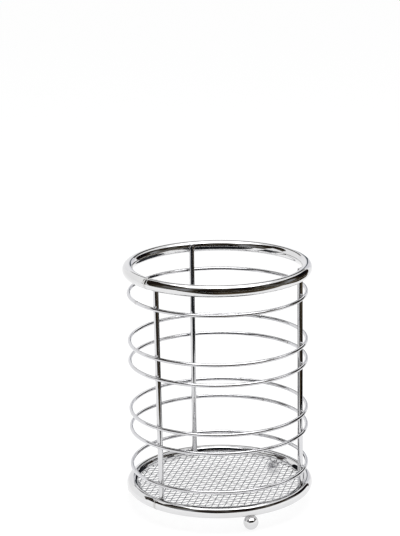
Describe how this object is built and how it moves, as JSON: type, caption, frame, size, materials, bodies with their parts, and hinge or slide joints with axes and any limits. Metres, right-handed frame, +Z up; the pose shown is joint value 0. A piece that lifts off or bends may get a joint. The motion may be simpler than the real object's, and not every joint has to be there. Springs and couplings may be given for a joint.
{
  "type": "cutlery holder",
  "caption": "Round open wire basket on ball feet, with a tube rim, thin hoops, inner uprights and a woven wire floor, for standing kitchen utensils.",
  "frame": {"origin": "middle of the basket on the surface that the ball feet stand on", "axes": "+Z up along the basket's axis, -Y towards the front (the side that the picture shows), +X to the right as seen from the front"},
  "size_m": [0.1333, 0.133, 0.1765],
  "materials": {
    "plated_tube": "bright chrome plate on a polished steel tube",
    "plated_wire": "bright chrome plate on drawn steel wire",
    "floor_wire": "bright chrome plate on fine woven wire, a little duller than the tubes",
    "plated_ball": "mirror chrome plate on a steel ball"
  },
  "bodies": {
    "root": {"rim_tube": "plated_tube", "base_ring": "plated_tube", "hoop_1_top": "plated_wire", "hoop_2_upper_pair_top": "plated_wire", "hoop_3_upper_pair_bottom": "plated_wire", "hoop_4_lower_pair_top": "plated_wire", "hoop_5_lower_pair_bottom": "plated_wire", "hoop_6_bottom": "plated_wire", "upright_left": "plated_wire", "upright_right": "plated_wire", "upright_rear": "plated_wire", "floor_long_wires": "floor_wire", "floor_cross_wires": "floor_wire", "foot_front": "plated_ball", "foot_rear": "plated_ball", "foot_left": "plated_ball"}
  },
  "joints": []
}
